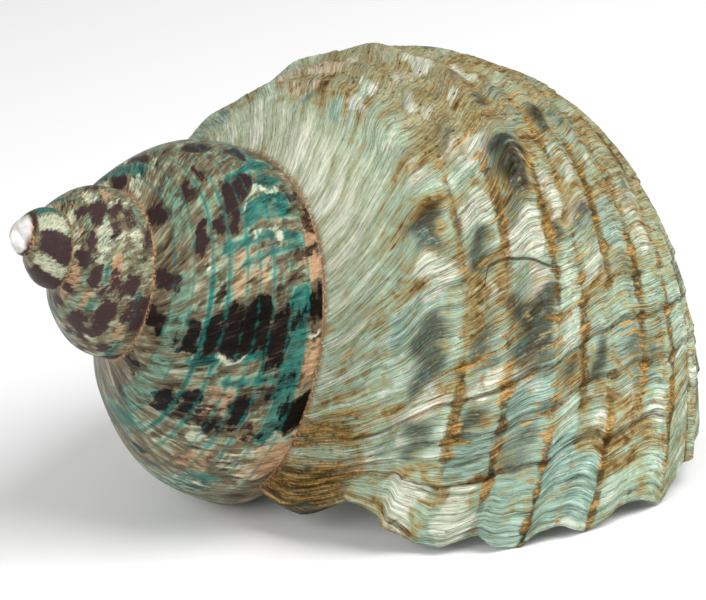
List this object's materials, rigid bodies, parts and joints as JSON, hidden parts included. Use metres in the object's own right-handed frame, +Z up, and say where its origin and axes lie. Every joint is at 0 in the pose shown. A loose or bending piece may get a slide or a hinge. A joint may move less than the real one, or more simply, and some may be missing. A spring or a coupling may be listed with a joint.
{
  "type": "turban shell",
  "caption": "Large coiled sea snail shell with a low spire, a swollen corded last whorl, a scalloped lip and a hollow mouth, resting mouth down.",
  "frame": {"origin": "centre of the bottom face of the box around the shell as it rests mouth down", "axes": "+Z up, +X to the right in the picture's view, +Y away from the picture's camera"},
  "size_m": [0.1267, 0.1092, 0.0833],
  "materials": {
    "shell": "natural shell, polished on the spire and worn satin on the last whorl"
  },
  "bodies": {
    "root": {"shell": "shell"}
  },
  "joints": []
}
